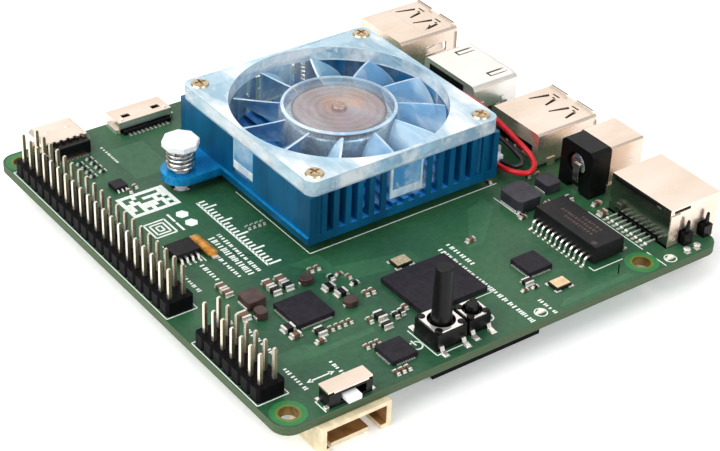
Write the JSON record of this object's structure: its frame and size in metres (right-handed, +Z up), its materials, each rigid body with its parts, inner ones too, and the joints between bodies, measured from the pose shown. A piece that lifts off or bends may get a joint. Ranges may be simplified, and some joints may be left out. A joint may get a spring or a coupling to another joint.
{
  "type": "single board computer",
  "caption": "Small square bare computer board with a blue finned cooler and fan, pin headers along the left edge, and network, power, video and data sockets along the right.",
  "frame": {"origin": "centre of the part's outline seen from above, at the height of the lowest connector under the board", "axes": "+X towards the edge with the large sockets, +Y towards the edge away from the push buttons, +Z up out of the component side"},
  "size_m": [0.0924, 0.0923, 0.0211],
  "materials": {
    "board_laminate": "satin green solder mask over glass-epoxy",
    "gold_plating": "bright gold flash on pins and screws",
    "tin_shell": "bright tin-plated steel sheet",
    "black_plastic": "moulded black nylon",
    "beige_plastic": "moulded ivory nylon",
    "white_plastic": "natural white nylon",
    "clear_blue_plastic": "clear moulding with a light blue tint",
    "blade_plastic": "milky light blue moulding",
    "blue_aluminium": "blue anodised extrusion",
    "chip_plastic": "fine matte epoxy",
    "ferrite": "fired ferrite, dull grey",
    "pad_rubber": "soft grey gap filler",
    "red_wire": "red insulation",
    "black_wire": "black insulation",
    "spring_steel": "bright spring wire",
    "magnet": "dark bonded magnet ring",
    "winding": "enamelled copper on a steel core",
    "bearing_brass": "sintered bronze sleeve",
    "button_plastic": "black moulded plunger"
  },
  "bodies": {
    "board": {"boot_memory_chip": "chip_plastic", "boot_switch_body": "black_plastic", "boot_switch_cover": "tin_shell", "card_reader": "tin_shell", "circuit_board": "board_laminate", "core_power_inductor": "ferrite", "display_connector_body": "beige_plastic", "display_connector_shell": "tin_shell", "fan_bearing": "bearing_brass", "fan_frame": "clear_blue_plastic", "fan_plug": "beige_plastic", "fan_screw_back_left": "gold_plating", "fan_screw_back_right": "gold_plating", "fan_screw_front_left": "gold_plating", "fan_screw_front_right": "gold_plating", "fan_socket": "beige_plastic", "fan_stator": "winding", "fan_wire_black": "black_wire", "fan_wire_red": "red_wire", "flash_memory_chip": "chip_plastic", "heat_sink": "blue_aluminium", "input_inductor": "ferrite", "long_pin_header": "black_plastic", "main_processor": "chip_plastic", "memory_chip": "chip_plastic", "network_chip": "chip_plastic", "network_jack_housing": "black_plastic", "network_jack_shell": "tin_shell", "network_transformer": "chip_plastic", "power_button_body": "black_plastic", "power_button_cover": "tin_shell", "power_jack_body": "black_plastic", "power_jack_pin": "tin_shell", "power_jack_shield": "tin_shell", "power_manager_chip": "chip_plastic", "push_pin_back": "white_plastic", "push_pin_left": "white_plastic", "push_pin_spring_back": "spring_steel", "push_pin_spring_left": "spring_steel", "regulator_chip": "chip_plastic", "reset_button_body": "black_plastic", "reset_button_cover": "tin_shell", "serial_connector": "beige_plastic", "short_pin_header": "black_plastic", "small_usb_port_insert": "black_plastic", "small_usb_port_shell": "tin_shell", "storage_socket": "black_plastic", "storage_standoff": "gold_plating", "thermal_pad": "pad_rubber", "usb_port_back_insert": "black_plastic", "usb_port_back_shell": "tin_shell", "usb_port_middle_insert": "black_plastic", "usb_port_middle_shell": "tin_shell", "video_port_insert": "black_plastic", "video_port_shell": "tin_shell"},
    "fan_rotor": {"fan_rotor": "blade_plastic", "fan_magnet": "magnet"},
    "power_plunger": {"power_button_plunger": "button_plastic"},
    "reset_plunger": {"reset_button_plunger": "button_plastic"},
    "boot_knob": {"boot_switch_knob": "black_plastic"}
  },
  "joints": [
    {"name": "fan_spin", "type": "hinge", "parent": "board", "child": "fan_rotor", "pos_m": [0.0027, 0.0099, 0.016], "axis": [0, 0, 1], "continuous": true},
    {"name": "power_press", "type": "slide", "parent": "board", "child": "power_plunger", "axis": [0, 0, -1], "range_m": [0, 0.0003], "stiffness_N_per_m": 300, "springref_m": -0.0004},
    {"name": "reset_press", "type": "slide", "parent": "board", "child": "reset_plunger", "axis": [0, 0, -1], "range_m": [0, 0.0003], "stiffness_N_per_m": 300, "springref_m": -0.0004},
    {"name": "boot_slide", "type": "slide", "parent": "board", "child": "boot_knob", "axis": [1, 0, 0], "range_m": [0, 0.0015]}
  ]
}
